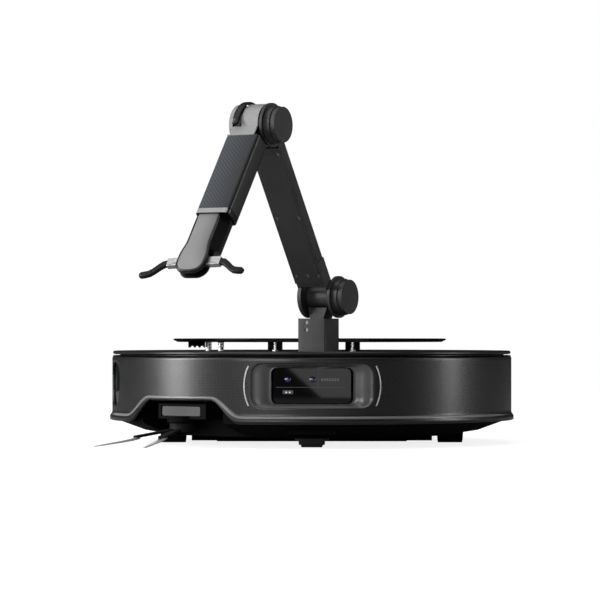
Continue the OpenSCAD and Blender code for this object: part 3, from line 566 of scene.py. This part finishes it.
def build_bumper():
    end = math.acos(SEAM_Y / BODY_R)
    turns = [-end + 2 * end * i / WALL_STEPS for i in range(WALL_STEPS + 1)]
    columns = [wall_column(t) for t in turns]
    rows = len(columns[0])
    vertices = [on_wall(turns[i], z, r) for i, column in enumerate(columns) for r, z in column]
    low, high = HOLE_ROWS
    spans = []
    for kind, centre, half in (("camera", math.asin(WINDOW_X / BODY_R), 56.5 / BODY_R * 1.02),
                               ("sensor", SENSOR_TURN, 26.5 / BODY_R)):
        first = min(range(len(turns)), key=lambda i: abs(turns[i] - centre + half))
        last = min(range(len(turns)), key=lambda i: abs(turns[i] - centre - half))
        spans.append((kind, first, last))
    faces = []
    for i in range(WALL_STEPS):
        for j in range(rows - 1):
            if low <= j < high and any(a <= i < b for _, a, b in spans):
                continue
            faces.append([i * rows + j, (i + 1) * rows + j, (i + 1) * rows + j + 1, i * rows + j + 1])
    recess_faces = []
    for kind, a, b in spans:
        loop = [(i, low) for i in range(a, b)] + [(b, j) for j in range(low, high)]
        loop += [(i, high) for i in range(b, a, -1)] + [(a, j) for j in range(high, low, -1)]
        previous = [i * rows + j for i, j in loop]
        for k, ring in enumerate(ring_targets(kind)):
            start = len(vertices)
            for i, j in loop:
                u = 2 * (i - a) / (b - a) - 1
                v = 2 * (j - low) / (high - low) - 1
                vertices.append(hole_point(kind, ring, u, v))
            current = list(range(start, start + len(loop)))
            for m in range(len(loop)):
                n = (m + 1) % len(loop)
                if kind == "camera" and k >= 3:
                    recess_faces.append(len(faces))
                faces.append([previous[m], previous[n], current[n], current[m]])
            previous = current
    mesh = bpy.data.meshes.new("bumper_wall")
    mesh.from_pydata([v * MM for v in vertices], [], faces)
    mesh.materials.append(MATERIALS["body_black"])
    mesh.materials.append(RECESS_PAINTED_LIGHT)
    for p in mesh.polygons:
        p.use_smooth = True
    # The recess faces take the lighter grey, which is painted light
    for index in recess_faces:
        mesh.polygons[index].material_index = 1
    obj = bpy.data.objects.new("bumper_wall", mesh)
    bpy.context.scene.collection.objects.link(obj)
    shell = obj.modifiers.new("thickness", "SOLIDIFY")
    shell.thickness = 1.8 * MM
    shell.offset = -1.0
    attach(obj, "bumper")
    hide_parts("bumper_shell")


def build_trim():
    """Raised silver line along the foot of the bumper, over the side-brush opening."""
    rings = []
    steps = 300
    start, stop = math.radians(-82), math.radians(79)
    half, proud = 1.25, 0.9
    for i in range(steps + 1):
        turn = start + (stop - start) * i / steps
        x = BODY_R * math.sin(turn)
        slope = (hump(x + 0.2) - hump(x - 0.2)) / 0.4 * HUMP_RISE * math.cos(turn)
        k = math.sqrt(1 + slope * slope)
        fade = min(1.0, (i + 2) / 14, (steps - i + 2) / 40)
        flare = FLARE * (1 - hump(x)) * 0.62
        ring = []
        for m in range(8):
            a = math.pi * m / 7
            d = half * math.cos(a) * fade
            r = BODY_R + flare * (0.5 - 0.5 * math.cos(a)) - 0.3 + (proud + 0.3) * math.sin(a) * fade
            z = HUMP_BASE + HUMP_RISE * hump(x) + d * k
            ring.append(on_wall(turn - d * slope / k / BODY_R, z, r))
        rings.append(ring)
    vertices, faces = loft(rings)
    obj = mesh_object("bumper_trim_line", vertices, faces)
    finish_piece(obj, "bumper", MATERIALS["trim_silver"], ["bumper_trim"])


# ---------------------------------------------------------------- camera window

def front_plate(name, outline, x, z, depth, proud, material, edge=0.05):
    """A thin plate on the window's face."""
    place = lambda u, v, w: Vector((x + u, WINDOW_Y - w, z + v))
    vertices, faces = prism(outline, place, -depth, proud, edge, 2)
    obj = mesh_object(name, vertices, faces, smooth=False)
    return finish_piece(obj, "chassis", material)


def build_window():
    faint = plain("window_line", (0.055, 0.055, 0.06), 0.3, 0.4, 0.05)
    grille = plain("window_grille", (0.10, 0.095, 0.09), 0.5, 0.3, 0.2)
    front_plate("window_bar_low", rounded_rect(BAR_LONG, BAR_THIN, 0.15, 2), WINDOW_X - 0.6, 51.1,
                0.3, 0.06, faint)
    front_plate("window_bar_up", rounded_rect(BAR_THIN, BAR_SHORT, 0.15, 2), 5.3, 58.2,
                0.3, 0.06, faint)
    slots = []
    for c in (GRILLE_X + GRILLE_STEP * i for i in range(GRILLE_SLOTS)):
        place = lambda u, v, w, c=c: Vector((c + u, WINDOW_Y - w, GRILLE_Z + v))
        slots.append(prism(rounded_rect(1.7, 2.5, 0.4, 2), place, -0.3, 0.08, 0.04, 2))
    obj = mesh_object("window_grille_slots", *join(slots), smooth=False)
    finish_piece(obj, "chassis", grille)
    front_plate("lamp_frame", rounded_rect(8.6, 3.2, 0.5, 3), -19.6, 47.1, 0.3, 0.05,
                plain("lamp_frame", (0.06, 0.06, 0.065), 0.35, 0.4, 0.05))
    forward = Matrix.Rotation(math.pi / 2, 4, "Z")
    dots = [lathe([(0.1, -0.12), (0.5, -0.11), (0.72, 0.0), (0.74, 0.2)],
                  Matrix.Translation((c, WINDOW_Y - 0.05, LAMP_Z)) @ forward, 20) for c in LAMP_X]
    obj = mesh_object("lamp_dots", *join(dots))
    finish_piece(obj, "chassis", MATERIALS["lamp_white"])


def build_lenses():
    """Domed lenses in dark rings, seen through the window."""
    parts = []
    for x in LENS_X:
        m = Matrix.Translation((x, WINDOW_Y, LENS_Z)) @ Matrix.Rotation(math.pi / 2, 4, "Z")
        dome = [(0.05, -1.25)] + [(2.35 * math.sin(a), -1.25 + 1.4 * (1 - math.cos(a)))
                                  for a in (math.radians(12 * i) for i in range(1, 8))]
        parts.append(lathe(dome + [(2.45, 0.0), (2.45, 12.0), (0.05, 12.0)], m, 40))
    obj = mesh_object("lens_domes", *join(parts))
    finish_piece(obj, "chassis", MATERIALS["lens_blue"], ["camera_lenses"])


# ---------------------------------------------------------------- side brush

def build_bristles():
    """Two tufts of thin nylon strands."""
    rng = random.Random(7)
    hub = Vector((BRUSH_HUB.x, BRUSH_HUB.y, 0))
    out = hub.normalized()
    parts = []
    for turn in TUFT_TURNS:
        along = Matrix.Rotation(math.radians(turn), 3, "Z") @ out
        side = Vector((0, 0, 1)).cross(along)
        for _ in range(STRANDS):
            s, h = rng.uniform(-1, 1), rng.uniform(-1, 1)
            reach = rng.uniform(79.5, 81.8)
            path = []
            for i in range(7):
                t = i / 6
                d = STRAND_ROOT + (reach - STRAND_ROOT) * t
                spread = 2.6 * (1 - t) ** 1.3 + 1.0
                z = 8.9 - 6.4 * t ** 0.75 + h * (0.35 + 0.6 * (1 - t))
                sway = s * spread + 0.3 * math.sin(9 * t + s)
                path.append(hub + along * d + side * sway + Vector((0, 0, z)))
            parts.append(tube(path, [STRAND_R] * 6 + [0.12], 5))
    obj = mesh_object("bristle_tufts", *join(parts))
    finish_piece(obj, "side_brush", MATERIALS["bristle_white"], ["side_brush_bristles"])


# ---------------------------------------------------------------- forearm and gripper

def build_cable():
    """Flat cable that bends over the elbow."""
    path = [(17.0, 11.5), (17.6, 6.0)] + [(CABLE_R * math.cos(a), -CABLE_R * math.sin(a))
                                          for a in (math.radians(8 * i) for i in range(0, 12))]
    path += [(-2.4, -16.6), (-3.4, -14.4)]
    rings = []
    for k, (b, a) in enumerate(path):
        b0, a0 = path[max(k - 1, 0)]
        b1, a1 = path[min(k + 1, len(path) - 1)]
        along = Vector((b1 - b0, a1 - a0)).normalized()
        across = Vector((-along.y, along.x))
        ring = [(-2.5 + u, b + across.x * v, a + across.y * v) for u, v in rounded_rect(5.6, 2.2, 0.9, 3)]
        rings.append([FORE @ Vector(p) for p in ring])
    obj = mesh_object("elbow_cable", *loft(rings))
    finish_piece(obj, "forearm", MATERIALS["cable_black"], ["flex_cable"])


def head_outline(grow):
    """Outline of the gripper's face: a straight neck that widens to a round end, as (pin, length)."""
    centre, neck, wide, end = HEAD_S, 10.6 + grow, 13.0 + grow, 154.2 + grow
    right = [(neck, 68.0)] + [(neck + (wide - neck) * ramp((a - 124) / 15), a) for a in range(76, 143, 3)]
    arc = [(wide * math.cos(t) ** 0.75, 143 + (end - 143) * math.sin(t) ** 0.75)
           for t in (math.radians(10 * i) for i in range(1, 9))]
    half = right + arc
    left = [(centre - x, a) for x, a in reversed(half)]
    return [(centre + x, a) for x, a in half] + [(centre, end)] + left


def build_face():
    place = lambda u, v, w: FORE @ Vector((u, w, v))
    vertices, faces = prism(head_outline(0.15), place, 9.3, 10.7, 0.5, 3)
    bezel = mesh_object("gripper_bezel", vertices, faces)
    finish_piece(bezel, "gripper", MATERIALS["head_black"])
    vertices, faces = prism(head_outline(-1.5), place, 9.8, 11.0, 0.5, 4)
    face = mesh_object("gripper_face", vertices, faces)
    finish_piece(face, "gripper", MATERIALS["face_silver"], ["gripper_faceplate"])


def finger_matrix(joint, side):
    """Local x points out of the gripper along its finger, y is the pin, z runs down the forearm."""
    return joint_matrix(joints[joint]["pos_m"], PIN * side, FORE_N, FORE_W)


def build_finger(side, word):
    droop = Matrix.Rotation(math.radians(-FINGER_DROOP[word]), 4, "Y")
    m = finger_matrix(f"finger_{word}_close", side) @ droop
    path = [(14.3, 0.6), (17.5, 1.0), (21.0, 3.4), (25.5, 7.2),
            (28.8, 9.2), (32.5, 9.9), (36.0, 10.2), (37.6, 10.6)]
    size = [(2.8, 1.9), (2.8, 1.9), (2.6, 1.85), (2.5, 1.8),
            (2.6, 1.85), (2.6, 1.9), (2.5, 1.9), (1.7, 1.3)]
    rings = []
    for k, (x, z) in enumerate(path):
        a, b = path[max(k - 1, 0)], path[min(k + 1, len(path) - 1)]
        along = Vector((b[0] - a[0], b[1] - a[1])).normalized()
        half, deep = size[k]
        rings.append([m @ Vector((x - along.y * v, u, z + along.x * v))
                      for u, v in rounded_rect(2 * deep, 2 * half, 1.1 * half / 2.9, 3)])
    obj = mesh_object(f"finger_pad_{word}", *loft(rings))
    add_bevel(obj, 0.3, 2, 50)
    finish_piece(obj, f"finger_{word}", MATERIALS["finger_black"], [f"finger_{word}"])


# ---------------------------------------------------------------- stage

# The card's place in millimetres, and the camera's focal length in millimetres and place in metres
CARD_Y = -5200
FOCAL = 184.7
VIEW_DISTANCE, VIEW_HEIGHT = 2.7, 0.0958


def area_light(name, place, target, width, height, energy):
    data = bpy.data.lights.new(name, "AREA")
    data.shape = "RECTANGLE"
    data.size, data.size_y = width, height
    data.energy = energy
    light = bpy.data.objects.new(name, data)
    light.location = place
    light.rotation_euler = (Vector(target) - Vector(place)).to_track_quat("-Z", "Y").to_euler()
    bpy.context.scene.collection.objects.link(light)


def build_stage():
    bpy.ops.mesh.primitive_plane_add(size=4.4, location=(0, 0, 0))
    floor = bpy.context.object
    floor.name = "floor"
    pale = Shader("floor_pale", (0.3, 0.3, 0.3), 0.8, specular=0.0)
    pale.bsdf.inputs["Emission Color"].default_value = (1, 1, 1, 1)
    seen = pale.node("ShaderNodeLightPath").outputs["Is Camera Ray"]
    pale.link(pale.math("MULTIPLY", seen, 0.84), pale.bsdf.inputs["Emission Strength"])
    floor.data.materials.append(pale.mat)
    # A white card behind the camera, whose slanting edge shows in the dark window
    corners = [(-893, 767), (873, -833), (2000, -833), (2000, 767)]
    card = mesh_object("card", [(x, CARD_Y, z) for x, z in corners], [[0, 1, 2, 3]], smooth=False)
    glow = Shader("card_white", (0, 0, 0), 0.8, specular=0.0)
    glow.bsdf.inputs["Emission Color"].default_value = (1, 1, 1, 1)
    glow.bsdf.inputs["Emission Strength"].default_value = 1.3
    card.data.materials.append(glow.mat)
    world = bpy.data.worlds.new("studio")
    world.use_nodes = True
    tree = world.node_tree
    dim = tree.nodes["Background"]
    dim.inputs["Color"].default_value = (1, 1, 1, 1)
    dim.inputs["Strength"].default_value = 0.03
    bright = tree.nodes.new("ShaderNodeBackground")
    bright.inputs["Color"].default_value = (1, 1, 1, 1)
    bright.inputs["Strength"].default_value = 1.0
    path = tree.nodes.new("ShaderNodeLightPath")
    mix = tree.nodes.new("ShaderNodeMixShader")
    tree.links.new(path.outputs["Is Camera Ray"], mix.inputs["Fac"])
    tree.links.new(dim.outputs[0], mix.inputs[1])
    tree.links.new(bright.outputs[0], mix.inputs[2])
    tree.links.new(mix.outputs[0], tree.nodes["World Output"].inputs["Surface"])
    bpy.context.scene.world = world
    area_light("strip_left", (-1.5, -0.30, 0.42), (0, 0, 0.08), 0.42, 1.3, 40)
    area_light("strip_right", (1.5, -0.22, 0.42), (0, 0, 0.08), 0.24, 1.3, 13)
    area_light("front_left", (-0.8, -1.7, 0.5), (0, 0, 0.08), 0.9, 0.5, 13)
    sky = bpy.data.lights.new("overhead", "SUN")
    sky.energy = 1.8
    sky.angle = math.radians(70)
    lamp = bpy.data.objects.new("overhead", sky)
    lamp.rotation_euler = (math.radians(8), math.radians(-12), 0)
    bpy.context.scene.collection.objects.link(lamp)
    bpy.context.scene.view_settings.view_transform = "Standard"


def build_camera():
    data = bpy.data.cameras.new("camera")
    data.lens = FOCAL
    data.sensor_width = 36.0
    camera = bpy.data.objects.new("camera", data)
    camera.location = (0, -VIEW_DISTANCE, VIEW_HEIGHT)
    tilt, turn = math.radians(0.614), math.radians(0.22)
    camera.rotation_euler = (math.pi / 2 + tilt, 0, turn)
    bpy.context.scene.collection.objects.link(camera)
    bpy.context.scene.camera = camera


# ---------------------------------------------------------------- build

dress_nodes()
repaint_arm()
build_bumper()
build_trim()
build_window()
build_lenses()
build_bristles()
build_cable()
build_face()
build_finger(1, "right")
build_finger(-1, "left")
build_stage()
build_camera()
